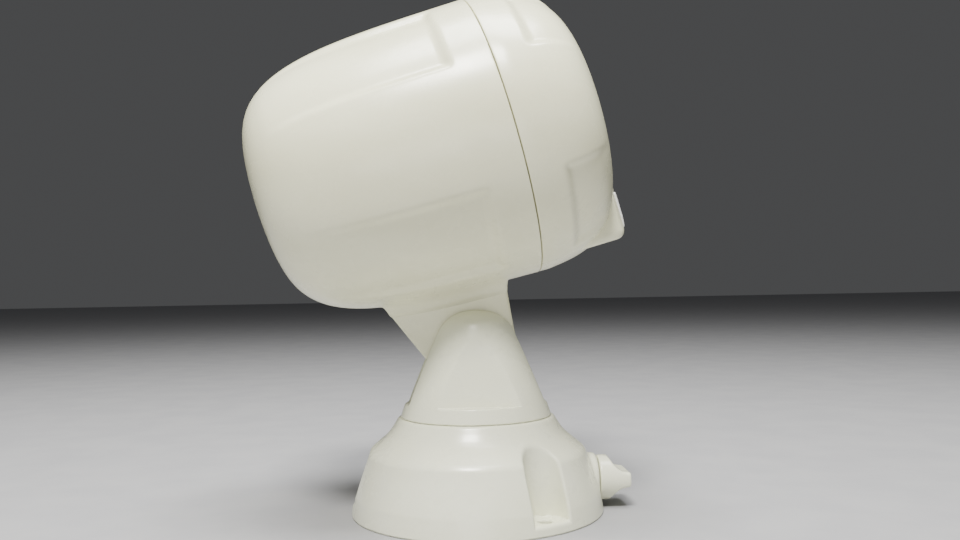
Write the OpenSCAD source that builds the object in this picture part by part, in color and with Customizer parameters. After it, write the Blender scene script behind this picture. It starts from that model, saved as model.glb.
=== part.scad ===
// Battery spotlight on a screw-down swivel base, with a motion sensor under the lens.
// Millimetres, +Z up. The origin is the centre of the base underside; the head faces +X.

/* [Head] */
// radius of the housing at its widest
head_r = 57.1; // [57.1:0.1:57.1]
// length of the head behind its widest section
rear_len = 103.5; // [103.5:0.1:103.5]
// length of the head ahead of its widest section
bezel_len = 34.4; // [34.4:0.1:34.4]
// upward tilt of the head at rest, degrees
tilt = 15.9; // [15.9:0.1:15.9]
// wall of the moulded housings
wall = 3.2; // [3.2:0.1:3.2]
// depth of the diagonal panels
panel_depth = 1.5; // [1.5:0.1:1.5]
// radius of the light opening
opening_r = 38; // [38:0.5:38]

/* [Batteries] */
// diameter of a D cell
cell_d = 34.2; // [34.2:0.1:34.2]
// length of a D cell over its button
cell_len = 61.5; // [61.5:0.1:61.5]

/* [Pivot and fork] */
// height of the tilt pivot
pivot_z = 66; // [66:0.5:66]
// half thickness of the neck tongue
tongue_half = 7.7; // [7.7:0.1:7.7]
// half width of the fork slot
slot_half = 8.6; // [8.6:0.1:8.6]
// radius of the pivot bolt
bolt_r = 3; // [3:0.1:3]
// radius of the turning spigot under the fork
spigot_r = 14; // [14:0.1:14]

/* [Base] */
// radius of the base at the mounting face
base_r = 50.8; // [50.8:0.1:50.8]
// height of the base, where the fork sits on it
base_h = 38.05; // [38.05:0.05:38.05]
// distance of the mounting holes from the axis
hole_ring = 44.7; // [44.7:0.1:44.7]
// radius of a mounting hole
hole_r = 2.6; // [2.6:0.1:2.6]
// height of the thumb screw
thumb_z = 11.4; // [11.4:0.1:11.4]

/* [Hidden] */
$fn = 96;
run = 0.08;          // running clearance on a radius
seam = [15.2, 0, 152]; // centre of the widest section
split = -4.4;        // where the bezel meets the rear housing
pivot_s = (0 - seam[0]) * cos(tilt) + (pivot_z - seam[2]) * sin(tilt);
pivot_v = seam[0] * sin(tilt) + (pivot_z - seam[2]) * cos(tilt);
mouth_r = 53;        // outside of the bezel skirt
cell_c = cell_d / 2 + 0.2;
cell_back = -84;
ease = 0.1;          // small gap between separate pieces

cream = [0.82, 0.80, 0.72];
white = [0.86, 0.85, 0.80];
metal = [0.75, 0.75, 0.77];

// Distances along the head axis run forward from its widest section; heights, up from the axis.
module head_frame() { translate(seam) rotate([0, -tilt, 0]) children(); }
module about_axis() { rotate([0, 90, 0]) children(); }
module disc(s0, s1, r) { translate([s0, 0, 0]) about_axis() cylinder(r = r, h = s1 - s0); }
module ring(s0, s1, r0, r1) {
  difference() { disc(s0, s1, r1); disc(s0 - 1, s1 + 1, r0); }
}
module at_head(s, y, v) { translate([s, y, v]) children(); }

// Radius of the rear housing a distance behind the seam, and of the bezel ahead of it.
function rear_at(s, r0, len) =
  (r0 + s * tan(2.04)) * pow(max(0, 1 - pow(-s / len, 4.37)), 1 / 4.37);
function bezel_at(s, r0, len) =
  (r0 - s * tan(6.1)) * pow(max(0, 1 - pow(s / len, 3.5)), 1 / 3.5);
// Stations get closer where the end rounds over.
function rear_stations(len, n = 16) = [for (i = [0 : n]) -len * sin(90 * i / n)];
function bezel_stations(s1, n = 14) = [for (i = [0 : n]) s1 * sin(90 * i / n)];

module rear_solid(r0, len) {
  about_axis() rotate_extrude()
    polygon(concat([[0, 0]], [for (s = rear_stations(len)) [rear_at(s, r0, len), s]]));
}

module rear_panel(a0) {
  about_axis() rotate([0, 0, a0 + 24]) rotate_extrude(angle = 42)
    polygon(concat(
      [for (i = [0 : 10]) let(s = -20.5 - i * 6.7, d = panel_depth * (1 - 1.5 * pow(i / 10, 3)))
        [rear_at(s, head_r, rear_len) - d, s]],
      [[head_r + 2, -87.5], [head_r + 2, -20.5]]));
}

module bezel_panel(a0) {
  about_axis() rotate([0, 0, a0 + 24]) rotate_extrude(angle = 42)
    polygon(concat(
      [for (i = [0 : 8]) let(s = 10.2 + i * 2.3)
        [bezel_at(s, head_r, bezel_len) - panel_depth * (1 - 1.6 * pow(i / 8, 2)), s]],
      [[head_r + 2, 28.6], [head_r + 2, 10.2]]));
}

module neck_outline() {
  polygon([[-71, -44], [-69, -51.7], [-55.3, -85.5], [-21.7, -80.5],
           [-19.2, -59.9], [-15.5, -56], [-15.5, -44]]);
  translate([pivot_s, pivot_v]) circle(r = 16);
}

module neck(half) {
  rotate([90, 0, 0]) translate([0, 0, -half]) linear_extrude(height = 2 * half)
    neck_outline();
}

module pivot_hole(r) {
  translate([pivot_s, 0, pivot_v]) rotate([90, 0, 0])
    cylinder(r = r, h = 60, center = true);
}

// Lug track for the twist lock of the bezel, three times round.
module lug_sector(s0, s1, r1, a0, span) {
  for (k = [0 : 2])
    translate([s0, 0, 0]) about_axis() rotate([0, 0, 120 * k + a0])
      rotate_extrude(angle = span) translate([mouth_r - 1, 0]) square([r1 - mouth_r + 1, s1 - s0]);
}

module rear_housing() {
  color(cream) head_frame() difference() {
    union() {
      difference() {
        rear_solid(head_r, rear_len);
        for (a = [0 : 90 : 270]) rear_panel(a);
      }
      neck(tongue_half);
    }
    difference() {
      rear_solid(head_r - wall, rear_len - wall);
      disc(split - 14, 2, head_r);
    }
    disc(split - 15, 1, mouth_r + run);
    lug_sector(split - 13, split - 8, 55, 0, 50);
    lug_sector(split - 9, 1, 55.3, 33, 16);
    disc(split - 0.15, 1, head_r + 1);
    pivot_hole(bolt_r + 0.06);
  }
}

module snout_side(grow) {
  intersection() {
    translate([8, -53.5 - grow]) square([30 + grow, 25.5 + grow]);
    translate([-5.6, -38]) circle(r = 40.4 + grow);
    union() {
      translate([7, -50.4]) square([39, 18.9]);
      translate([7, -54.5 - grow]) square([23.3, 27]);
      translate([30.3, -50.3]) circle(r = 3.2 + grow);
      translate([30.3, -31.5]) circle(r = 3.4 + grow);
    }
  }
}

module snout(grow, half) {
  intersection() {
    rotate([90, 0, 0]) translate([0, 0, -half]) linear_extrude(height = 2 * half)
      snout_side(grow);
    translate([8, 0, -60]) cylinder(r = 26.8 + grow, h = 40);
  }
}

module bezel_solid(r0, len, s1) {
  about_axis() rotate_extrude()
    polygon(concat([[0, split + 0.15], [rear_at(split, r0, rear_len), split + 0.15]],
      [for (s = bezel_stations(s1)) [bezel_at(s, r0, len), s]], [[0, s1]]));
}

module front_bezel() {
  color(cream) head_frame() difference() {
    union() {
      difference() {
        bezel_solid(head_r - 0.1, bezel_len, 31);
        for (a = [0 : 90 : 270]) bezel_panel(a);
        translate([21.2, 0, 0]) about_axis()
          cylinder(r1 = 36.4, r2 = opening_r + 0.4, h = 9.9);
      }
      snout(0, 16);
      disc(split - 12, 1, mouth_r);
      lug_sector(split - 12, split - 8.6, 54.7, 2, 14);
    }
    // lamp space behind the lens, and the seat of the lens
    disc(split - 13, 16.8, 50);
    disc(15, 18, 36.4);
    disc(16.7, 21.3, 40.2);
    // sensor room under the lens, and its window
    translate([12, -11, -50.6]) cube([18.3, 22, 8.6]);
    translate([22.6, -11, -50.6]) cube([7.7, 22, 19]);
    translate([30, -9.5, -50]) cube([8, 19, 15.5]);
    about_axis() rotate_extrude() translate([mouth_r - 1.9, split - 6.1]) square([3, 2.2]);
  }
}

module front_lens() {
  color([0.85, 0.88, 0.9, 0.4]) head_frame() disc(18.6, 21.1, 40);
}

module lens_gasket() {
  color([0.08, 0.08, 0.08]) head_frame() ring(17, 18.5, 37.2, 40);
}

function cup_at(s) = 9 + 27.6 * pow((s + 4) / 21, 0.55);
module reflector() {
  color([0.9, 0.9, 0.92]) head_frame() about_axis() rotate_extrude()
    polygon(concat([for (i = [0 : 12]) let(s = -4 + 21 * i / 12) [cup_at(s), s]],
      [for (i = [12 : -1 : 0]) let(s = -4 + 21 * i / 12) [cup_at(s) + 1.4, s]]));
}

module led_board() {
  color([0.9, 0.9, 0.88]) head_frame() disc(-5.8, -4.2, 14);
}

module led_emitter() {
  color([0.95, 0.85, 0.35]) head_frame() {
    translate([-4.2, -3.5, -3.5]) cube([1.2, 7, 7]);
    intersection() { at_head(-3, 0, 0) sphere(r = 2.8); disc(-3.1, 2, 4); }
  }
}

module heat_sink() {
  color(metal) head_frame() {
    disc(-8.3, -5.8, 21);
    for (k = [-3 : 3]) translate([-11.8, 5 * k - 0.8, -14]) cube([3.6, 1.6, 28]);
  }
}

module driver_board() {
  color([0.1, 0.35, 0.2]) head_frame() difference() {
    disc(-13.6, -12, 40);
    for (a = [90, 210, 330]) about_axis() rotate([0, 0, a]) translate([34, 0, -20])
      cylinder(r = 1.7, h = 12);
  }
}

module driver_parts() {
  color([0.15, 0.15, 0.16]) head_frame() {
    translate([-12, 20, 8]) cube([6, 10, 10]);
    translate([-12, -30, -6]) cube([2, 9, 12]);
    translate([-12, -27, 12]) about_axis() cylinder(r = 4, h = 9);
    translate([-12, 22, -14]) about_axis() cylinder(r = 4, h = 9);
    for (k = [-2 : 2]) translate([-12, 4 * k - 1, 26]) cube([1, 2, 3]);
  }
}

module lamp_cover() {
  color([0.2, 0.2, 0.22]) head_frame() difference() {
    union() {
      disc(-16, -14, 49.8);
      ring(-14.1, -12.6, 47.6, 49.8);
      for (a = [90, 210, 330]) about_axis() rotate([0, 0, a]) translate([34, 0, -14.1])
        cylinder(r = 3.4, h = 0.4);
    }
    for (a = [90, 210, 330]) about_axis() rotate([0, 0, a]) translate([34, 0, -20])
      cylinder(r = 1.7, h = 12);
  }
}

module cover_screws() {
  color(metal) head_frame()
    for (a = [90, 210, 330]) about_axis() rotate([0, 0, a]) translate([34, 0, -17.8])
      difference() {
        union() { cylinder(r = 2.9, h = 1.7); cylinder(r = 1.45, h = 10); }
        translate([0, 0, -1]) cylinder(r = 1.4, h = 1.8, $fn = 6);
      }
}

module contact_rings() {
  color([0.8, 0.62, 0.3]) head_frame() {
    ring(-16.5, -16, 10, 14);
    ring(-16.5, -16, 20, 24);
  }
}

module pir_lens() {
  color([0.93, 0.93, 0.9]) head_frame() difference() {
    intersection() {
      snout(0.5, 9.3);
      translate([30.4, -9.3, -49.8]) cube([8, 18.6, 15]);
    }
    intersection() {
      snout(-1, 8.2);
      translate([29, -8.2, -48.8]) cube([8, 16.4, 13]);
    }
  }
}

module pir_sensor() {
  color(metal) head_frame() {
    translate([25.2, 0, -43]) about_axis() cylinder(r = 4.6, h = 4.3);
    translate([25.2, 0, -43]) about_axis() cylinder(r = 5, h = 0.6);
    for (a = [45, 165, 285]) translate([22.9, 2.6 * cos(a), -43 + 2.6 * sin(a)])
      about_axis() cylinder(r = 0.25, h = 3, $fn = 24);
  }
}

module sensor_board() {
  color([0.1, 0.35, 0.2]) head_frame() difference() {
    translate([23.6, -10.5, -50.2]) cube([1.5, 21, 11.8]);
    for (a = [45, 165, 285]) translate([20, 2.6 * cos(a), -43 + 2.6 * sin(a)])
      about_axis() cylinder(r = 0.35, h = 8, $fn = 24);
  }
}

module photocell() {
  color([0.6, 0.35, 0.2]) head_frame() translate([25.2, 7.8, -43]) about_axis()
    cylinder(r = 2, h = 2.4);
}

module housing_seal() {
  color([0.08, 0.08, 0.08]) head_frame() about_axis() rotate_extrude()
    translate([mouth_r - 0.95, split - 5]) circle(r = 0.85);
}

module cell_places() {
  for (a = [45 : 90 : 315]) about_axis() rotate([0, 0, a])
    translate([cell_c * sqrt(2), 0, cell_back]) children();
}

module battery(k) {
  color(k == 1 || k == 3 ? [0.15, 0.15, 0.17] : [0.2, 0.2, 0.22]) head_frame()
    about_axis() rotate([0, 0, 45 + 90 * (k - 1)])
      translate([cell_c * sqrt(2), 0, cell_back]) {
        cylinder(r = cell_d / 2, h = cell_len - 1.8);
        cylinder(r = 4.8, h = cell_len);
      }
}

module battery_carrier() {
  color([0.12, 0.12, 0.13]) head_frame() difference() {
    union() {
      disc(-88, -86, 41.5);
      disc(-20.8, -18.8, 47);
      disc(-86.1, -20.7, 6.6);
      for (a = [0 : 90 : 270]) about_axis() rotate([0, 0, a]) translate([37, 0, -86.1])
        cylinder(r = 4.4, h = 65.4);
    }
  }
}

module contact_springs() {
  color(metal) head_frame() cell_places() translate([0, 0, -2]) {
    cylinder(r = 1, h = 1.9);
    for (i = [0 : 2]) translate([0, 0, 0.35 + 0.6 * i]) cylinder(r = 6 - 1.6 * i, h = 0.3);
  }
}

module contact_plates() {
  color(metal) head_frame() cell_places() translate([0, 0, cell_len + 0.1])
    translate([-6, -6, 0]) cube([12, 12, 0.5]);
}

module contact_fingers() {
  color([0.8, 0.62, 0.3]) head_frame()
    for (y = [12, 22]) translate([-18.8, 0, y]) {
      about_axis() cylinder(r = 1.8, h = 1);
      about_axis() cylinder(r = 0.9, h = 2);
    }
}

module pivot_bolt() {
  color(metal) translate([0, 0, pivot_z]) rotate([-90, 0, 0]) difference() {
    union() {
      translate([0, 0, -14]) cylinder(r = bolt_r, h = 28);
      translate([0, 0, 13.9]) cylinder(r = 5, h = 4);
    }
    translate([0, 0, 15.5]) cylinder(r = 2.4, h = 4, $fn = 6);
  }
}

module pivot_insert() {
  color([0.8, 0.62, 0.3]) translate([0, 0, pivot_z]) rotate([-90, 0, 0])
    translate([0, 0, -14]) difference() {
      cylinder(r = 4.2, h = 5);
      translate([0, 0, -1]) cylinder(r = bolt_r, h = 7);
    }
}

module friction_washers() {
  color([0.3, 0.3, 0.32]) for (side = [-1, 1])
    translate([0, side * (tongue_half + 0.45), pivot_z]) rotate([90, 0, 0]) difference() {
      cylinder(r = 12, h = 0.7, center = true);
      cylinder(r = bolt_r + 0.3, h = 2, center = true);
    }
}

module fork_profile() {
  polygon([[0, 38.2], [30.9, 38.2], [29.7, 41.5], [27.6, 48.8], [25.3, 54.4], [23.0, 60.1],
           [20.5, 66.7], [18.1, 72.4], [16.5, 75.2], [14.4, 77.6], [12, 79.5], [9, 80.9],
           [5, 81.8], [0, 82.1]]);
}

module swivel_fork() {
  color(white) difference() {
    union() {
      rotate_extrude() fork_profile();
      translate([0, 0, 4.6]) cylinder(r = spigot_r, h = 35);
    }
    // slot for the neck
    translate([-40, -slot_half, 43.6]) cube([80, 2 * slot_half, 50]);
    // flat on each cheek, ending in a ledge
    for (side = [0, 180]) rotate([0, 0, side]) translate([-30, -18.5, 71.7])
      rotate([-10.6, 0, 0]) translate([0, -20, -28.2]) cube([60, 20, 60]);
    // bolt seat on the far cheek, insert pocket in the near one
    translate([0, 0, pivot_z]) rotate([-90, 0, 0]) {
      cylinder(r = bolt_r + ease, h = 15);
      translate([0, 0, 13.8]) cylinder(r = 5.3, h = 20);
      translate([0, 0, -14.3]) cylinder(r = 4.2, h = 14);
    }
    // screw hole in the foot of the spigot
    translate([0, 0, 4]) cylinder(r = 2, h = 14);
    // groove the clamp screw bears in
    translate([0, 0, thumb_z]) rotate_extrude() translate([spigot_r - 0.8, -4])
      square([4, 8]);
  }
}

module pan_washer() {
  color(metal) difference() {
    translate([0, 0, 3]) cylinder(r = 16.6, h = 1.5);
    translate([0, 0, 2]) cylinder(r = 2.3, h = 4);
  }
}

module pan_screw() {
  color(metal) difference() {
    union() {
      translate([0, 0, 0.6]) cylinder(r = 4, h = 2.3);
      translate([0, 0, 0.6]) cylinder(r = 1.95, h = 16);
    }
    for (a = [0, 90]) rotate([0, 0, a]) translate([-2.4, -0.5, 0]) cube([4.8, 1, 1.8]);
  }
}

base_flank = [[base_r, 0], [50.2, 4], [49.5, 8], [48.4, 11.5], [46.9, 16], [45.3, 20.6],
  [44.2, 24], [43.2, 25.4], [41.6, 26.7], [39.8, 28.2], [37.8, 29.8], [36.1, 31.3],
  [34.6, 33.1], [33.2, 35.2], [31.9, 37.4], [31.6, 38.05]];

module base_solid(inset, z0, z1) {
  rotate_extrude() polygon(concat([[0, z0]],
    [for (p = base_flank) [p[0] - inset, min(max(p[1] - (inset > 0 ? 3 : 0), z0), z1)]],
    [[0, z1]]));
}

module hole_places() {
  for (a = [-60, 60, 180]) rotate([0, 0, a]) translate([hole_ring, 0, 0]) children();
}

module base_shell() {
  color(white) difference() {
    union() {
      difference() { base_solid(0, 0, base_h); base_solid(3, -1, base_h - 3); }
      intersection() {
        base_solid(0, 0, base_h);
        hole_places() cylinder(r = 10.2, h = 40);
      }
      translate([0, 0, 4.6]) cylinder(r = 17.5, h = 33.2);
      // boss of the clamp screw
      translate([16.5, 0, thumb_z]) about_axis() cylinder(r = 6, h = 28);
      intersection() {
        translate([42, 0, thumb_z]) about_axis() cylinder(r = 10, h = 6.9);
        cylinder(r = 60, h = 30);
      }
    }
    hole_places() {
      translate([0, 0, 4]) cylinder(r = 7.8, h = 40);
      translate([0, -7.8, 4]) cube([20, 15.6, 40]);
      translate([0, 0, -1]) cylinder(r = hole_r, h = 8);
    }
    translate([0, 0, -1]) cylinder(r = spigot_r + run, h = 60);
    translate([48.9, 0, thumb_z]) about_axis() cylinder(r = 10, h = 6);
    translate([10, 0, thumb_z]) about_axis() cylinder(r = 2.9, h = 50);
    translate([36.8, 0, thumb_z]) about_axis() cylinder(r = 4, h = 20);
  }
}

module clamp_insert() {
  color([0.8, 0.62, 0.3]) translate([36.8, 0, thumb_z]) about_axis() difference() {
    cylinder(r = 4, h = 12);
    translate([0, 0, -1]) cylinder(r = 2.56, h = 14);
  }
}

module thumb_knob() {
  color(white) translate([49.2, 0, thumb_z]) about_axis() difference() {
    union() {
      cylinder(r = 9, h = 2.9);
      intersection() {
        cylinder(r = 9, h = 12.5);
        rotate([90, 0, 0]) linear_extrude(height = 18, center = true) difference() {
          translate([-9, 0]) square([18, 12.5]);
          for (side = [-1, 1]) translate([side * 9, 8.4]) circle(r = 6.1);
          for (side = [0, 1]) mirror([side, 0]) translate([2.9, 8.4]) square([8, 8]);
        }
      }
    }
    translate([0, 0, -1]) cylinder(r = 2.5, h = 9);
  }
}

module thumb_shaft() {
  color(metal) translate([14.6, 0, thumb_z]) about_axis() {
    cylinder(r1 = 1.8, r2 = 2.5, h = 1);
    translate([0, 0, 1]) cylinder(r = 2.5, h = 41.6);
  }
}

rear_housing();
front_bezel();
front_lens();
lens_gasket();
reflector();
led_board();
led_emitter();
heat_sink();
driver_board();
driver_parts();
lamp_cover();
cover_screws();
contact_rings();
pir_lens();
pir_sensor();
sensor_board();
photocell();
housing_seal();
battery_carrier();
battery(1);  // battery_1
battery(2);  // battery_2
battery(3);  // battery_3
battery(4);  // battery_4
contact_springs();
contact_plates();
contact_fingers();
pivot_bolt();
pivot_insert();
friction_washers();
swivel_fork();
pan_washer();
pan_screw();
base_shell();
clamp_insert();
thumb_knob();
thumb_shaft();
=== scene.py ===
import math
import bpy
import numpy as np
from mathutils import Matrix, Vector


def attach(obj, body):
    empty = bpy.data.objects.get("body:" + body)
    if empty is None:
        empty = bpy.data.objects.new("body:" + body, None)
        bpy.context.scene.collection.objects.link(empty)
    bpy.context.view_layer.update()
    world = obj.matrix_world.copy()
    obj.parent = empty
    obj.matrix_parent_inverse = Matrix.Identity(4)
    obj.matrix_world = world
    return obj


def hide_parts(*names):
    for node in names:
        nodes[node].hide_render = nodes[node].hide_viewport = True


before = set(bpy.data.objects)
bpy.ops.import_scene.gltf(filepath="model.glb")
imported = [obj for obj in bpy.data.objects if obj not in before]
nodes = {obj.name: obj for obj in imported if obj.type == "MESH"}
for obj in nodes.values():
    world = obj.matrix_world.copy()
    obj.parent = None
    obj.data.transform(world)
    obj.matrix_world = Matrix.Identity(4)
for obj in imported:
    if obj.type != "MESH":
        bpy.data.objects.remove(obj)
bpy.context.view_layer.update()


# ---------------------------------------------------------------- shader maths
class Sock:
    """A shader socket that can be used in sums, products and mixes."""

    def __init__(self, tree, socket):
        self.tree, self.socket = tree, socket

    def node(self, kind, out, inputs, **settings):
        made = self.tree.nodes.new("ShaderNode" + kind)
        for key, value in settings.items():
            setattr(made, key, value)
        for key, value in inputs.items():
            if isinstance(value, Sock):
                self.tree.links.new(value.socket, made.inputs[key])
            else:
                made.inputs[key].default_value = value
        return Sock(self.tree, made.outputs[out])

    def calc(self, operation, *values):
        return self.node("Math", 0, dict(enumerate(values)), operation=operation)

    def __add__(self, other):
        return self.calc("ADD", self, other)

    def __radd__(self, other):
        return self.calc("ADD", other, self)

    def __sub__(self, other):
        return self.calc("SUBTRACT", self, other)

    def __rsub__(self, other):
        return self.calc("SUBTRACT", other, self)

    def __mul__(self, other):
        return self.calc("MULTIPLY", self, other)

    def __rmul__(self, other):
        return self.calc("MULTIPLY", other, self)

    def __truediv__(self, other):
        return self.calc("DIVIDE", self, other)

    def __rtruediv__(self, other):
        return self.calc("DIVIDE", other, self)

    def __pow__(self, other):
        return self.calc("POWER", self, other)

    def __neg__(self):
        return self.calc("MULTIPLY", self, -1.0)

    def noise(self, scale, detail=3.0, roughness=0.5):
        return self.node("TexNoise", 0, {"Vector": self, "Scale": scale, "Detail": detail,
                                         "Roughness": roughness})

    def stretch(self, x, y, z):
        return self.node("VectorMath", 0, {0: self, 1: (x, y, z)}, operation="MULTIPLY")

    def part(self, axis):
        return self.node("SeparateXYZ", axis, {0: self})

    def span(self, low, high, to_low=0.0, to_high=1.0):
        return self.node("MapRange", 0, {"Value": self, "From Min": low, "From Max": high,
                         "To Min": to_low, "To Max": to_high}, interpolation_type="SMOOTHSTEP")

    def colours(self, first, second):
        return self.node("Mix", 2, {0: self, 6: first, 7: second}, data_type="RGBA")


class Finish:
    """A material with one surface shader; varying sockets are linked, numbers are set."""

    def __init__(self, name, **fixed):
        self.mat = bpy.data.materials.new(name)
        self.mat.use_nodes = True
        self.tree = self.mat.node_tree
        self.tree.nodes.clear()
        self.shader = self.tree.nodes.new("ShaderNodeBsdfPrincipled")
        end = self.tree.nodes.new("ShaderNodeOutputMaterial")
        self.tree.links.new(self.shader.outputs[0], end.inputs[0])
        for key, value in fixed.items():
            self.shader.inputs[key.replace("_", " ")].default_value = value
        coords = self.tree.nodes.new("ShaderNodeTexCoord")
        self.place = Sock(self.tree, coords.outputs["Object"])
        geometry = self.tree.nodes.new("ShaderNodeNewGeometry")
        self.edge = Sock(self.tree, geometry.outputs["Pointiness"])

    def vary(self, **sockets):
        for key, value in sockets.items():
            self.tree.links.new(value.socket, self.shader.inputs[key.replace("_", " ")])

    def bump(self, height, distance, strength=0.6):
        self.vary(Normal=height.node("Bump", 0, {"Height": height, "Distance": distance,
                                                 "Strength": strength}))


def moulded(name, clean, worn_and_shaded, rough=0.3, grain=0.00003):
    """Satin moulding: faint flow marks, handling haze, fine texture, painted shade in the hollows.
    """
    made = Finish(name, Coat_Roughness=0.18, IOR=1.5, Subsurface_Weight=0.0)
    flow = made.place.stretch(1.0, 1.0, 3.0).noise(14.0, 4.0)
    haze = made.place.noise(60.0, 6.0, 0.6)
    fine = made.place.noise(2600.0, 2.0)
    # hollow: concave places (low pointiness) pulled towards the second colour, which is painted
    # shade in creases and hollows
    hollow = made.edge.span(0.38, 0.49, 1.0, 0.0)
    rim = made.edge.span(0.53, 0.62)
    tint = flow.span(0.35, 0.75) * 0.35 + hollow * 0.22 + haze.span(0.5, 0.8) * 0.18
    made.vary(Base_Color=tint.colours(clean, worn_and_shaded),
              Roughness=rough + haze.span(0.3, 0.8) * 0.10 - rim * 0.06 + fine * 0.03,
              Coat_Weight=0.32 - haze * 0.2)
    made.bump(fine * 1.0 + flow * 1.6, grain)
    return made.mat


# ---------------------------------------------------------------- surface maths
def soft_max(a, b, width):
    h = np.clip(0.5 - 0.5 * (b - a) / width, 0, 1)
    return b + (a - b) * h + width * h * (1 - h)


def soft_min(a, b, width):
    return -soft_max(-a, -b, width)


def smooth(t):
    t = np.clip(t, 0, 1)
    return t * t * (3 - 2 * t)


def as_piece(name, points, faces, material, normals=None):
    """A mesh from millimetre points, smooth shaded, at the origin of the frame."""
    mesh = bpy.data.meshes.new(name)
    mesh.from_pydata((np.asarray(points) / 1000.0).tolist(), [], np.asarray(faces).tolist())
    mesh.shade_smooth()
    mesh.materials.append(material)
    if normals is not None:
        mesh.normals_split_custom_set_from_vertices(normals)
    piece = bpy.data.objects.new(name, mesh)
    bpy.context.scene.collection.objects.link(piece)
    return piece


def skin(shape, low, high, cell):
    """Closed quad skin of the surface where shape(x, y, z) is zero, inside negative."""
    axes = [np.arange(a - 1.5 * cell, b + 2.5 * cell, cell) for a, b in zip(low, high)]
    inside = shape(*np.meshgrid(*axes, indexing="ij")) < 0
    corner = [inside[i:inside.shape[0] - 1 + i, j:inside.shape[1] - 1 + j,
                     k:inside.shape[2] - 1 + k].astype(int)
              for i in (0, 1) for j in (0, 1) for k in (0, 1)]
    total = sum(corner)
    mixed = (total > 0) & (total < 8)
    index = np.full(mixed.shape, -1)
    index[mixed] = np.arange(mixed.sum())
    cells = np.argwhere(mixed)
    points = np.stack([axes[d][cells[:, d]] + cell / 2 for d in range(3)], 1)
    faces = []
    for d in range(3):
        first = np.take(inside, range(inside.shape[d] - 1), d)
        second = np.take(inside, range(1, inside.shape[d]), d)
        hits = np.argwhere(first != second)
        e, f = (d + 1) % 3, (d + 2) % 3
        ring = []
        for de, df in ((0, 0), (-1, 0), (-1, -1), (0, -1)):
            at = hits.copy()
            at[:, e] += de
            at[:, f] += df
            ring.append(index[at[:, 0], at[:, 1], at[:, 2]])
        quad = np.stack(ring, 1)
        flip = ~first[tuple(hits.T)]
        quad[flip] = quad[flip][:, ::-1]
        faces.append(quad)
    faces = np.concatenate(faces)

    def slope(p):
        step = cell * 0.02
        out = np.empty_like(p)
        for d in range(3):
            shift = step * (np.arange(3) == d)
            out[:, d] = (shape(*(p + shift).T) - shape(*(p - shift).T)) / (2 * step)
        return out

    def settle(p, times):
        for _ in range(times):
            g = slope(p)
            step = (shape(*p.T) / np.maximum((g * g).sum(1), 1e-4))[:, None] * g
            p = p - np.clip(step, -cell, cell)
        return p

    points = settle(points, 6)
    for _ in range(3):
        near = np.zeros_like(points)
        count = np.zeros(len(points))
        for a in range(4):
            for b in ((a + 1) % 4, (a + 3) % 4):
                np.add.at(near, faces[:, a], points[faces[:, b]])
                np.add.at(count, faces[:, a], 1)
        points = settle(points * 0.4 + 0.6 * near / count[:, None], 2)
    points = settle(points, 3)
    g = slope(points)
    normals = g / np.maximum(np.linalg.norm(g, axis=1), 1e-9)[:, None]
    return points, faces, normals


# ---------------------------------------------------------------- rear housing
# Warm white injection-moulded drum, a little tapered and rounded over at the back, with four
# shallow diagonal panels and the neck moulded on below. It carries the batteries.
tilt = math.radians(15.9)
seam = np.array([15.2, 0.0, 152.0])
split = -4.4
head_r, rear_len, bezel_len = 57.1, 103.5, 34.4
turns = np.linspace(0, 2 * math.pi, 384, endpoint=False)
pivot_s = -seam[0] * math.cos(tilt) + (66 - seam[2]) * math.sin(tilt)
pivot_v = seam[0] * math.sin(tilt) + (66 - seam[2]) * math.cos(tilt)


def from_head(points):
    """Head coordinates (along the axis, across, up) to the frame."""
    s, y, v = np.asarray(points).T
    return np.stack([seam[0] + s * math.cos(tilt) - v * math.sin(tilt), y,
                     seam[2] + s * math.sin(tilt) + v * math.cos(tilt)], 1)


def turn_with_head(normals):
    """Head directions to frame directions, with no shift."""
    return from_head(normals) - seam


def rear_radius(s, r0=head_r, length=rear_len):
    return (r0 + s * math.tan(math.radians(2.04))) * np.maximum(
        0, 1 - np.abs(s / length) ** 4.37) ** (1 / 4.37)


def bezel_radius(s, r0=head_r, length=bezel_len):
    return (r0 - s * math.tan(math.radians(6.1))) * np.maximum(
        0, 1 - np.abs(s / length) ** 3.5) ** (1 / 3.5)


def panel_mask(s, a, s_low, s_high, soft):
    """1 inside the four diagonal panels, falling to 0 over their soft edges."""
    quarter = (a + math.pi / 4) % (math.pi / 2) - math.pi / 4
    across = np.abs(np.abs(quarter) - math.pi / 4)
    arc = (math.radians(21.5) - across) * 55.0
    along = np.minimum(s - s_low, s_high - s)
    corner = 2.2
    dx, dy = np.maximum(corner - along, 0), np.maximum(corner - arc, 0)
    inset = np.where((along < corner) & (arc < corner), corner - np.hypot(dx, dy),
                     np.minimum(along, arc))
    ramp = inset / soft
    low = soft_max(ramp, np.zeros_like(ramp), 0.3)
    return np.clip(soft_min(low, np.ones_like(ramp), 0.3), 0, 1)


def lathe(rows, closed=False):
    """Quad skin round the head axis; each row is (station, radius) over the turns."""
    points = []
    for s, r in rows:
        r = r * np.ones_like(turns)
        points.append(np.stack([s * np.ones_like(turns), r * np.cos(turns), r * np.sin(turns)], 1))
    n, m = len(turns), len(rows)
    k = np.arange(n)
    faces = []
    for i in range(m if closed else m - 1):
        a, b = i * n, ((i + 1) % m) * n
        faces.append(np.stack([a + k, a + (k + 1) % n, b + (k + 1) % n, b + k], 1))
    return np.concatenate(points), np.concatenate(faces)


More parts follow.
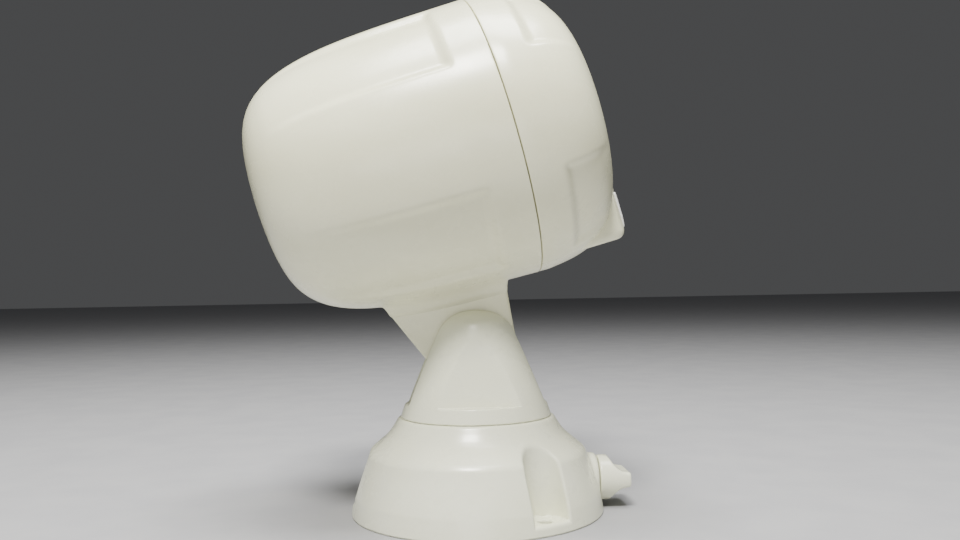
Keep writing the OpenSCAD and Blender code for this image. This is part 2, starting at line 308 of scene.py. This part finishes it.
def neck_shape(s, y, v):
    edges = [((-71, -44), (-69, -51.7)), ((-69, -51.7), (-55.3, -85.5)),
             ((-55.3, -85.5), (-21.7, -80.5)), ((-21.7, -80.5), (-19.2, -59.9)),
             ((-19.2, -59.9), (-17.5, -44)), ((-17.5, -44), (-71, -44))]
    plate = None
    for (x0, z0), (x1, z1) in edges:
        length = math.hypot(x1 - x0, z1 - z0)
        away = ((s - x0) * -(z1 - z0) + (v - z0) * (x1 - x0)) / -length
        plate = away if plate is None else soft_max(plate, away, 1.0)
    eye = np.hypot(s - pivot_s, v - pivot_v) - 16.0
    outline = soft_min(plate, eye, 1.5)
    bore = 3.06 - np.hypot(s - pivot_s, v - pivot_v)
    return np.maximum(soft_max(outline, np.abs(y) - 7.7, 1.2), bore)


ends = np.linspace(0.0002, 0.8165, 40)
stations = np.concatenate([-rear_len * (1 - ends ** 4.37) ** (1 / 4.37),
                           np.arange(-91.2, split - 0.5, 0.85)])
rows = []
for s in stations:
    r = rear_radius(s)
    fade = 1 - np.clip((-20.5 - s) / 69, 0, 1) ** 2.2
    r = r - 1.9 * fade * panel_mask(s, turns, -92.0, -18.9, 3.0)
    # fillet into the neck
    side, down = r * np.cos(turns), r * np.sin(turns)
    gap = np.hypot(np.maximum(np.abs(s + 43.6) - 24.4, 0) * 1.8,
                   np.maximum(np.abs(side) - 7.4, 0) * 0.85)
    flare = 5.2 - np.sqrt(np.maximum(0, 5.2 ** 2 - np.maximum(0, 5.2 - gap) ** 2))
    flare = flare * smooth((s + 71) / 5) * smooth((-16 - s) / 4)
    rows.append((s, r + np.where(down < 0, flare, 0)))
edge = rear_radius(split)
rows += [(split - 0.46, edge), (split - 0.3, edge - 0.06), (split - 0.24, edge - 0.22),
         (split - 0.24, 53.2), (split - 14.5, 53.2)]
inner = -np.linspace(20.2, 100.3, 40)
rows += [(s, rear_radius(s, head_r - 3.2, rear_len - 3.4)) for s in inner]
points, faces = lathe(rows)
drum = as_piece("rear_housing_skin", from_head(points), faces, None)
neck_points, neck_faces, neck_normals = skin(neck_shape, (-71, -8, -97), (-17, 8, -44), 0.8)
neck = as_piece("neck_skin", from_head(neck_points), neck_faces, None)
cream = moulded("warm_white_moulding", (0.85, 0.845, 0.61, 1), (0.70, 0.68, 0.45, 1), 0.22)
for piece in (drum, neck):
    piece.data.materials[0] = cream
    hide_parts("rear_housing")
    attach(piece, "head")
neck.data.normals_split_custom_set_from_vertices(turn_with_head(neck_normals))

# ---------------------------------------------------------------- front bezel
# Shorter moulding that twists onto the mouth of the drum. Its four panels run towards the rim,
# and the snout of the motion sensor is moulded into it below the lens.
edge = rear_radius(split) - 0.1
rows = [(split + 0.24, edge - 0.22), (split + 0.3, edge - 0.06), (split + 0.46, edge)]
rows += [(s, rear_radius(s, head_r - 0.1)) for s in np.arange(split + 1, -0.2, 0.85)]
for s in np.concatenate([np.arange(1.0, 26.8, 0.8), np.arange(27.0, 30.8, 0.3)]):
    fade = 1 - np.clip((s - 10.2) / 20.0, 0, 1) ** 2
    rows.append((s, bezel_radius(s, head_r - 0.1)
                 - 1.9 * fade * panel_mask(s, turns, 8.8, 60.0, 2.8)))
rows += [(30.93, 38.3), (31.02, 38.05), (30.98, 37.8), (30.7, 37.65), (30.2, 37.5),
         (26.5, 36.95), (21.3, 36.4), (21.25, 36.5), (21.25, 40.2), (16.8, 40.2),
         (16.75, 40.4), (16.75, 49.8), (16.5, 50), (split - 11.7, 50), (split - 12, 50.3),
         (split - 12, 52.7), (split - 11.7, 53), (split - 0.1, 53), (split + 0.1, 53.1),
         (split + 0.24, 54)]
points, faces = lathe(rows, closed=True)
bezel = as_piece("front_bezel_skin", from_head(points), faces, cream)


def snout_front(s, y, v, grow):
    """Curved front of the sensor snout: rounded both up and across."""
    return soft_max(np.hypot(s + 5.6, v + 38) - 40.4 - grow, np.hypot(s - 8, y) - 26.8 - grow, 1.0)


def snout_shape(s, y, v):
    body = soft_max(snout_front(s, y, v, 0), np.maximum(-53.5 - v, v + 28.2), 3.2)
    body = soft_max(body, np.abs(y) - 16, 3.0)
    round_axis = np.hypot(y, v)
    # clear of the lens seat and, behind it, of the lamp space
    clear = np.where(s > 16.8, np.maximum(round_axis - 40.3, s - 21.4), round_axis - 50)
    body = np.maximum.reduce([body, 8 - s, -clear])
    window = np.maximum.reduce([np.abs(y) - 9.5, -50 - v, v + 34.5, 30.0 - s])
    return soft_max(body, -window, 0.5)


points, faces, normals = skin(snout_shape, (8, -17, -54), (38, 17, -27), 0.55)
snout = as_piece("sensor_snout", from_head(points), faces, cream, turn_with_head(normals))
for piece in (bezel, snout):
    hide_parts("front_bezel")
    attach(piece, "bezel")

# ---------------------------------------------------------------- sensor window
# Thin milky polyethylene lens over the motion sensor, flush with the snout and finely
# facetted inside so it gathers heat from many directions.
def window_shape(s, y, v):
    outer = soft_max(snout_front(s, y, v, 0.5), np.maximum(-49.8 - v, v + 34.8), 0.9)
    outer = soft_max(outer, np.abs(y) - 9.3, 0.9)
    inner = np.maximum.reduce([snout_front(s, y, v, -1.0), -48.8 - v, v + 35.8, np.abs(y) - 8.2])
    return np.maximum.reduce([outer, 30.4 - s, -inner])


points, faces, normals = skin(window_shape, (30, -9.5, -50), (36.5, 9.5, -34.5), 0.35)
milky = Finish("milky_window", IOR=1.52, Subsurface_Radius=(0.004, 0.003, 0.003),
               Subsurface_Scale=0.6)
grid = milky.place.stretch(0.0, 1.0, 0.0).part(1) * 2200.0
rings = milky.place.part(2) * 2200.0
ridge = grid.calc("SINE", grid) * 0.5 + rings.calc("SINE", rings) * 0.5
cloud = milky.place.noise(220.0, 3.0)
milky.vary(Base_Color=cloud.span(0.3, 0.7).colours((0.83, 0.83, 0.80, 1), (0.76, 0.76, 0.72, 1)),
           Roughness=cloud * 0.2 + 0.32)
milky.bump(ridge + cloud * 0.4, 0.00006, 0.5)
window = as_piece("sensor_window", from_head(points), faces, milky.mat, turn_with_head(normals))
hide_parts("pir_lens")
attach(window, "bezel")

# ---------------------------------------------------------------- swivel fork
# White moulded cone that turns on the base. A slot takes the neck, each cheek has a flat
# ending in a ledge, and the pivot bolt goes in from the far side.
def turned(r, z, corners, width):
    """Round solid whose outline (radius, height) is convex, its corners softened."""
    whole = None
    for (r0, z0), (r1, z1) in zip(corners, corners[1:]):
        away = ((r - r0) * (z1 - z0) - (z - z0) * (r1 - r0)) / math.hypot(r1 - r0, z1 - z0)
        whole = away if whole is None else soft_max(whole, away, width)
    return whole


def fork_shape(x, y, z):
    r = np.hypot(x, y)
    cone = turned(r, z, [(30.95, 38.2), (29.7, 41.5), (27.6, 48.8), (25.35, 54.4), (23.05, 60.1),
                         (20.6, 66.7), (18.2, 72.4), (16.7, 75.3), (14.6, 77.8), (12.1, 79.8),
                         (9, 81.2), (5, 82.1), (0, 82.4)], 0.7)
    side = math.radians(10.6)
    beyond = (np.abs(y) - 18.4) * math.cos(side) + (z - 71.7) * math.sin(side)
    flat = soft_max(-beyond, 44.0 - z, 0.3)
    cone = soft_max(cone, -flat, 0.25)
    cone = soft_max(cone, 38.2 - z, 0.7)
    slot = soft_max(np.abs(y) - 8.6, 43.6 - z, 0.8)
    cone = soft_max(cone, -slot, 1.0)
    cone = np.minimum(cone, soft_max(np.maximum(r - 13.92, z - 40), 4.6 - z, 1.0))
    around = np.hypot(x, z - 66)
    seat = np.where(y > 13.8, around - 5.3, around - 3.1)
    blind = np.maximum(around - 4.2, np.maximum(-14.3 - y, y))
    return np.maximum.reduce([cone, -np.where(y > 0, seat, 99), -blind])


white = moulded("base_white_moulding", (0.88, 0.89, 0.71, 1), (0.74, 0.745, 0.55, 1), 0.23)
points, faces, normals = skin(fork_shape, (-31, -31, 4), (31, 31, 83), 0.6)
fork = as_piece("swivel_fork_skin", points, faces, white, normals)
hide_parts("swivel_fork")
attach(fork, "fork")

# ---------------------------------------------------------------- base
# White moulded shell, hollow below, screwed to a wall or post through three pockets. A boss
# on its side takes the clamp screw, and a tube in the middle holds the fork's spigot.
heights = np.linspace(-4, 46, 251)
flank = np.interp(heights, [-4, 0, 4, 8, 11.5, 16, 20.6, 24, 25.4, 26.7, 28.2, 29.8, 31.3, 33.1,
                            35.2, 37.4, 46],
                  [51.4, 50.8, 50.2, 49.5, 48.4, 46.9, 45.3, 44.2, 43.2, 41.6, 39.8, 37.8, 36.1,
                   34.6, 33.2, 31.9, 27.5])
bell = np.exp(-np.linspace(-2, 2, 11) ** 2)
flank = np.convolve(np.pad(flank, 5, mode="edge"), bell / bell.sum(), "valid")


def base_shape(x, y, z):
    r = np.hypot(x, y)
    outer = (r - np.interp(z, heights, flank)) * 0.85
    solid = soft_max(soft_max(outer, z - 38.05, 0.9), -z, 0.8)
    hollow = np.maximum((r - np.interp(z + 3, heights, flank) + 3) * 0.85, z - 35)
    shell = soft_max(solid, -hollow, 0.6)
    tube = np.maximum.reduce([r - 17.5, 4.6 - z, z - 37.5])
    shell = soft_min(shell, tube, 0.8)
    pockets, holes = 99.0, 99.0
    for turn in (-60, 60, 180):
        c, s = math.cos(math.radians(turn)), math.sin(math.radians(turn))
        out, across = x * c + y * s - 44.7, y * c - x * s
        round_hole = np.hypot(out, across)
        shell = np.minimum(shell, np.maximum(round_hole - 10.2, solid))
        channel = np.where(out < 0, round_hole, np.abs(across)) - 7.8
        pockets = np.minimum(pockets, np.maximum(channel, 4 - z))
        holes = np.minimum(holes, round_hole - 2.6)
    around = np.hypot(y, z - 11.4)
    boss = np.maximum(soft_max(around - 10, x - 48.9, 2.0), 40 - x)
    shell = soft_min(shell, np.maximum(boss, -z + 0.4), 1.2)
    shell = np.minimum(shell, np.maximum.reduce([around - 6, 16.5 - x, x - 44]))
    shell = soft_max(shell, -pockets, 1.3)
    shell = soft_max(shell, -holes, 0.5)
    shell = soft_max(shell, 14.2 - r, 0.5)
    knob_seat = np.maximum(around - 10, 48.9 - x)
    screw = np.where(x > 36.8, around - 4, np.where(x > 5, around - 2.9, 99))
    return np.maximum.reduce([soft_max(shell, -knob_seat, 0.5), -screw])


points, faces, normals = skin(base_shape, (-51, -51, 0), (51, 51, 38.2), 0.78)
base = as_piece("base_skin", points, faces, white, normals)
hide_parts("base_shell")
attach(base, "base")

# ---------------------------------------------------------------- clamp screw
# Moulded thumb knob over a steel screw: a round flange that narrows in a hollow curve to a
# flat grip. It pinches the spigot to stop the fork turning.
def knob_shape(x, y, z):
    half = np.interp(x, [49, 53.0, 53.8, 55.0, 56.4, 58.2, 60.5, 63],
                     [10.5, 9.6, 8.2, 6.2, 4.6, 3.4, 3.0, 2.9])
    around = np.hypot(y, z - 11.4)
    grip = soft_max(around - 9, (np.abs(z - 11.4) - half) * 0.8, 1.0)
    grip = soft_max(grip, np.maximum(49.2 - x, x - 61.7), 0.9)
    return np.maximum(grip, -np.maximum(around - 2.5, x - 57.2))


points, faces, normals = skin(knob_shape, (49, -9, 2), (63, 9, 21), 0.35)
knob = as_piece("thumb_knob_skin", points, faces, white, normals)
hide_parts("thumb_knob")
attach(knob, "clamp")

# ---------------------------------------------------------------- battery springs
# Tapered coils of plated wire, one behind each cell.
def coil_group():
    group = bpy.data.node_groups.new("coils_on_a_ring", "GeometryNodeTree")
    group.interface.new_socket("Geometry", in_out="INPUT", socket_type="NodeSocketGeometry")
    for label, value in (("Turns", 3.5), ("Wide radius", 0.006), ("Narrow radius", 0.0028),
                         ("Height", 0.0018), ("Wire radius", 0.0003), ("Ring radius", 0.0245)):
        made = group.interface.new_socket(label, in_out="INPUT", socket_type="NodeSocketFloat")
        made.default_value = value
    group.interface.new_socket("Material", in_out="INPUT", socket_type="NodeSocketMaterial")
    group.interface.new_socket("Geometry", in_out="OUTPUT", socket_type="NodeSocketGeometry")
    add, link = group.nodes.new, group.links.new
    given, result = add("NodeGroupInput"), add("NodeGroupOutput")
    coil = add("GeometryNodeCurveSpiral")
    coil.inputs["Resolution"].default_value = 28
    for target, source in (("Rotations", "Turns"), ("Start Radius", "Wide radius"),
                           ("End Radius", "Narrow radius"), ("Height", "Height")):
        link(given.outputs[source], coil.inputs[target])
    wire = add("GeometryNodeCurvePrimitiveCircle")
    wire.inputs["Resolution"].default_value = 10
    link(given.outputs["Wire radius"], wire.inputs["Radius"])
    tube = add("GeometryNodeCurveToMesh")
    link(coil.outputs[0], tube.inputs[0])
    link(wire.outputs[0], tube.inputs[1])
    tube.inputs["Fill Caps"].default_value = True
    ring = add("GeometryNodeMeshCircle")
    ring.inputs["Vertices"].default_value = 4
    link(given.outputs["Ring radius"], ring.inputs["Radius"])
    copies = add("GeometryNodeInstanceOnPoints")
    link(ring.outputs[0], copies.inputs["Points"])
    link(tube.outputs[0], copies.inputs["Instance"])
    real, paint = add("GeometryNodeRealizeInstances"), add("GeometryNodeSetMaterial")
    link(copies.outputs[0], real.inputs[0])
    link(real.outputs[0], paint.inputs[0])
    link(given.outputs["Material"], paint.inputs["Material"])
    link(paint.outputs[0], result.inputs[0])
    return group


def metal(name, colour, dull, rough, scale=900.0, along=(1.0, 1.0, 0.05), metallic=1.0):
    """Bare metal: drawn or brushed grain, faint tarnish, brighter rubbed edges."""
    made = Finish(name, Metallic=metallic)
    grain = made.place.stretch(*along).noise(scale, 3.0)
    stain = made.place.noise(90.0, 4.0)
    rub = made.edge.span(0.52, 0.6)
    made.vary(Base_Color=(stain.span(0.35, 0.75) * (1.0 - rub)).colours(colour, dull),
              Roughness=rough + grain * 0.16 + stain * 0.08 - rub * 0.06)
    made.bump(grain, 0.00002)
    return made.mat


def from_group(name, group, values, place):
    """Runs a node group once and keeps the result as a plain mesh in the frame."""
    holder = bpy.data.objects.new(name + "_maker", bpy.data.meshes.new(name + "_seed"))
    bpy.context.scene.collection.objects.link(holder)
    maker = holder.modifiers.new("make", "NODES")
    maker.node_group = group
    sockets = {i.name: i.identifier for i in group.interface.items_tree
               if i.item_type == "SOCKET" and i.in_out == "INPUT"}
    for label, value in values.items():
        maker[sockets[label]] = value
    bpy.context.view_layer.update()
    ready = holder.evaluated_get(bpy.context.evaluated_depsgraph_get())
    mesh = bpy.data.meshes.new_from_object(ready)
    bpy.data.objects.remove(holder)
    mesh.name = name
    mesh.shade_smooth()
    flat = np.empty(len(mesh.vertices) * 3)
    mesh.vertices.foreach_get("co", flat)
    mesh.vertices.foreach_set("co", (place(flat.reshape(-1, 3) * 1000) / 1000).ravel())
    piece = bpy.data.objects.new(name, mesh)
    bpy.context.scene.collection.objects.link(piece)
    return piece


spring_steel = metal("spring_steel", (0.62, 0.62, 0.64, 1), (0.42, 0.41, 0.40, 1), 0.22)


def behind_cells(p):
    """The group's ring lies flat; it is turned to face along the head at the springs."""
    c = math.cos(math.pi / 4)
    return from_head(np.stack([-85.8 + p[:, 2], (p[:, 0] - p[:, 1]) * c,
                               (p[:, 0] + p[:, 1]) * c], 1))


springs = from_group("battery_springs", coil_group(),
                     {"Turns": 3.5, "Height": 0.0014, "Ring radius": 0.02447,
                      "Material": spring_steel}, behind_cells)
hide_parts("contact_springs")
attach(springs, "head")

# ---------------------------------------------------------------- lens and reflector
# Clear polycarbonate disc clamped on a black gasket in front of a vacuum-metallised cup.
clear = Finish("clear_polycarbonate", Transmission_Weight=1.0, IOR=1.5, Metallic=0.0)
smear = clear.place.noise(35.0, 5.0)
clear.vary(Base_Color=smear.span(0.4, 0.8).colours((0.95, 0.97, 0.98, 1), (0.90, 0.93, 0.94, 1)),
           Roughness=smear.span(0.45, 0.85) * 0.06 + 0.015)
clear.bump(clear.place.noise(120.0, 2.0), 0.00002, 0.3)
cup = Finish("metallised_cup", Metallic=1.0)
ripple = cup.place.noise(300.0, 3.0)
cup.vary(Base_Color=ripple.span(0.4, 0.8).colours((0.90, 0.90, 0.91, 1), (0.80, 0.81, 0.83, 1)),
         Roughness=ripple * 0.06 + 0.04)
cup.bump(ripple, 0.00005, 0.5)


def dress(name, material):
    """A CAD piece shown as it is, with a material of its own."""
    shown = nodes[name]
    shown.data.materials.clear()
    shown.data.materials.append(material)


dress("front_lens", clear.mat)
dress("reflector", cup.mat)


def dull_part(name, first, second, rough, scale, depth=0.00003):
    """Rubber, laminate or textured plastic: mottled colour, uneven sheen, fine grain."""
    made = Finish(name, IOR=1.48)
    mottle = made.place.noise(scale, 4.0)
    fine = made.place.noise(scale * 9, 2.0)
    rub = made.edge.span(0.52, 0.62)
    made.vary(Base_Color=mottle.span(0.3, 0.75).colours(first, second),
              Roughness=rough + mottle * 0.12 - rub * 0.1)
    made.bump(fine + mottle * 0.6, depth)
    return made.mat


rubber = dull_part("seal_rubber", (0.018, 0.018, 0.018, 1), (0.035, 0.034, 0.033, 1), 0.62, 260.0)
dress("lens_gasket", rubber)
dress("housing_seal", rubber)

# ---------------------------------------------------------------- light source
# Phosphor-topped LED on a white board, screwed to a finned sink.
phosphor = dull_part("phosphor", (0.85, 0.62, 0.12, 1), (0.72, 0.48, 0.08, 1), 0.35, 900.0)
dress("led_emitter", phosphor)
dress("photocell", phosphor)
dress("led_board", dull_part("white_board", (0.78, 0.78, 0.75, 1), (0.68, 0.68, 0.64, 1),
                             0.45, 500.0))
dress("heat_sink", metal("sink_aluminium", (0.74, 0.75, 0.77, 1), (0.58, 0.59, 0.61, 1), 0.28,
                         along=(0.05, 1.0, 1.0)))

# ---------------------------------------------------------------- boards and sensor
# Green boards with dark moulded parts, and the sensor in its steel can.
laminate = Finish("board_laminate", Coat_Roughness=0.2)
trace = (laminate.place.stretch(1.0, 500.0, 500.0).node(
    "TexVoronoi", 0, {"Vector": laminate.place.stretch(1.0, 420.0, 420.0), "Scale": 1.0},
    distance="MANHATTAN")).span(0.35, 0.45)
laminate.vary(Base_Color=trace.colours((0.010, 0.085, 0.035, 1), (0.018, 0.13, 0.05, 1)),
              Roughness=trace * 0.12 + 0.3, Coat_Weight=trace * 0.2 + 0.2)
laminate.bump(trace, 0.00004)
dress("driver_board", laminate.mat)
dress("sensor_board", laminate.mat)
dress("driver_parts", dull_part("moulded_packages", (0.02, 0.02, 0.022, 1),
                                (0.045, 0.045, 0.05, 1), 0.4, 700.0))
dress("pir_sensor", spring_steel)

# ---------------------------------------------------------------- lamp cover and carrier
# Black textured mouldings that close the lamp unit and hold the four cells.
black = dull_part("black_moulding", (0.02, 0.02, 0.022, 1), (0.04, 0.04, 0.043, 1), 0.48, 320.0)
dress("lamp_cover", black)
dress("battery_carrier", black)
plated = metal("plated_steel", (0.66, 0.66, 0.68, 1), (0.46, 0.45, 0.43, 1), 0.25)
for name in ("cover_screws", "contact_plates"):
    dress(name, plated)
yellow = metal("contact_brass", (0.80, 0.58, 0.24, 1), (0.55, 0.38, 0.16, 1), 0.2)
for name in ("contact_rings", "contact_fingers"):
    dress(name, yellow)

# ---------------------------------------------------------------- cells
# Plain D cells: dark film wrap with a bare steel end and button.
wrap = Finish("cell_wrap", Coat_Roughness=0.12)
along = wrap.place.part(0) * math.cos(tilt) + wrap.place.part(2) * math.sin(tilt)
front = seam[0] / 1000 * math.cos(tilt) + seam[2] / 1000 * math.sin(tilt)
station = (along - front) * 1000.0
bare = station.span(-25.2, -24.6) + station.span(-83.0, -83.4)
scuff = wrap.place.noise(180.0, 5.0)
wrap.vary(Base_Color=bare.colours((0.020, 0.021, 0.024, 1), (0.62, 0.62, 0.63, 1)),
          Metallic=bare * 1.0, Roughness=scuff.span(0.4, 0.8) * 0.2 + 0.22,
          Coat_Weight=(1.0 - bare) * 0.5)
wrap.bump(scuff, 0.00003)
for k in (1, 2, 3, 4):
    dress(f"battery_{k}", wrap.mat)

# ---------------------------------------------------------------- pivot and clamp hardware
# Zinc-plated bolt, washers and screws, brass inserts, and fibre friction washers.
for name in ("pivot_bolt", "pan_washer", "pan_screw", "thumb_shaft"):
    dress(name, plated)
for name in ("pivot_insert", "clamp_insert"):
    dress(name, yellow)
dress("friction_washers", rubber)

# ---------------------------------------------------------------- floor, light and camera
# Pale matt floor, a key from above the front, a broad light overhead, a low fill in front.
floor_mesh = bpy.data.meshes.new("floor")
floor_mesh.from_pydata([(-4, -4, 0), (4, -4, 0), (4, 6, 0), (-4, 6, 0)], [], [(0, 1, 2, 3)])
floor = bpy.data.objects.new("floor", floor_mesh)
bpy.context.scene.collection.objects.link(floor)
card = Finish("floor_card")
fleck = card.place.noise(30.0, 6.0)
card.vary(Base_Color=fleck.span(0.3, 0.7).colours((0.37, 0.37, 0.38, 1), (0.34, 0.34, 0.355, 1)),
          Roughness=fleck * 0.1 + 0.6)
floor_mesh.materials.append(card.mat)


def lamp(name, place, aim, size, power, colour):
    data = bpy.data.lights.new(name, "AREA")
    data.shape, data.size, data.size_y = "RECTANGLE", size[0], size[1]
    data.energy, data.color = power, colour
    lit = bpy.data.objects.new(name, data)
    lit.location = place
    lit.rotation_euler = (Vector(aim) - Vector(place)).to_track_quat("-Z", "Y").to_euler()
    bpy.context.scene.collection.objects.link(lit)


lamp("key", (-0.14, -0.55, 0.93), (0, 0, 0.06), (0.24, 0.20), 17.5, (1.0, 0.98, 0.93))
lamp("top", (-0.02, -0.08, 1.1), (0, 0, 0.13), (0.6, 0.4), 23.0, (1.0, 1.0, 0.98))
lamp("fill", (-0.10, -1.0, 0.12), (0, 0, 0.06), (0.5, 0.3), 1.5, (1.0, 0.99, 0.96))
world = bpy.data.worlds.new("surround")
world.use_nodes = True
world.node_tree.nodes["Background"].inputs[0].default_value = (0.80, 0.81, 0.83, 1)
world.node_tree.nodes["Background"].inputs[1].default_value = 0.09
bpy.context.scene.world = world

eye = bpy.data.objects.new("camera", bpy.data.cameras.new("camera"))
eye.data.lens, eye.data.sensor_width = 33.75, 36.0
eye.data.clip_start = 0.01
eye.matrix_world = (Matrix.Rotation(math.radians(-3.5), 4, "Z")
                    @ Matrix.Translation((0, -0.368, 0.090))
                    @ Matrix.Rotation(math.radians(-0.41), 4, "Z")
                    @ Matrix.Rotation(math.radians(91.11), 4, "X")
                    @ Matrix.Rotation(math.radians(-1.01), 4, "Z"))
bpy.context.scene.collection.objects.link(eye)
bpy.context.scene.camera = eye
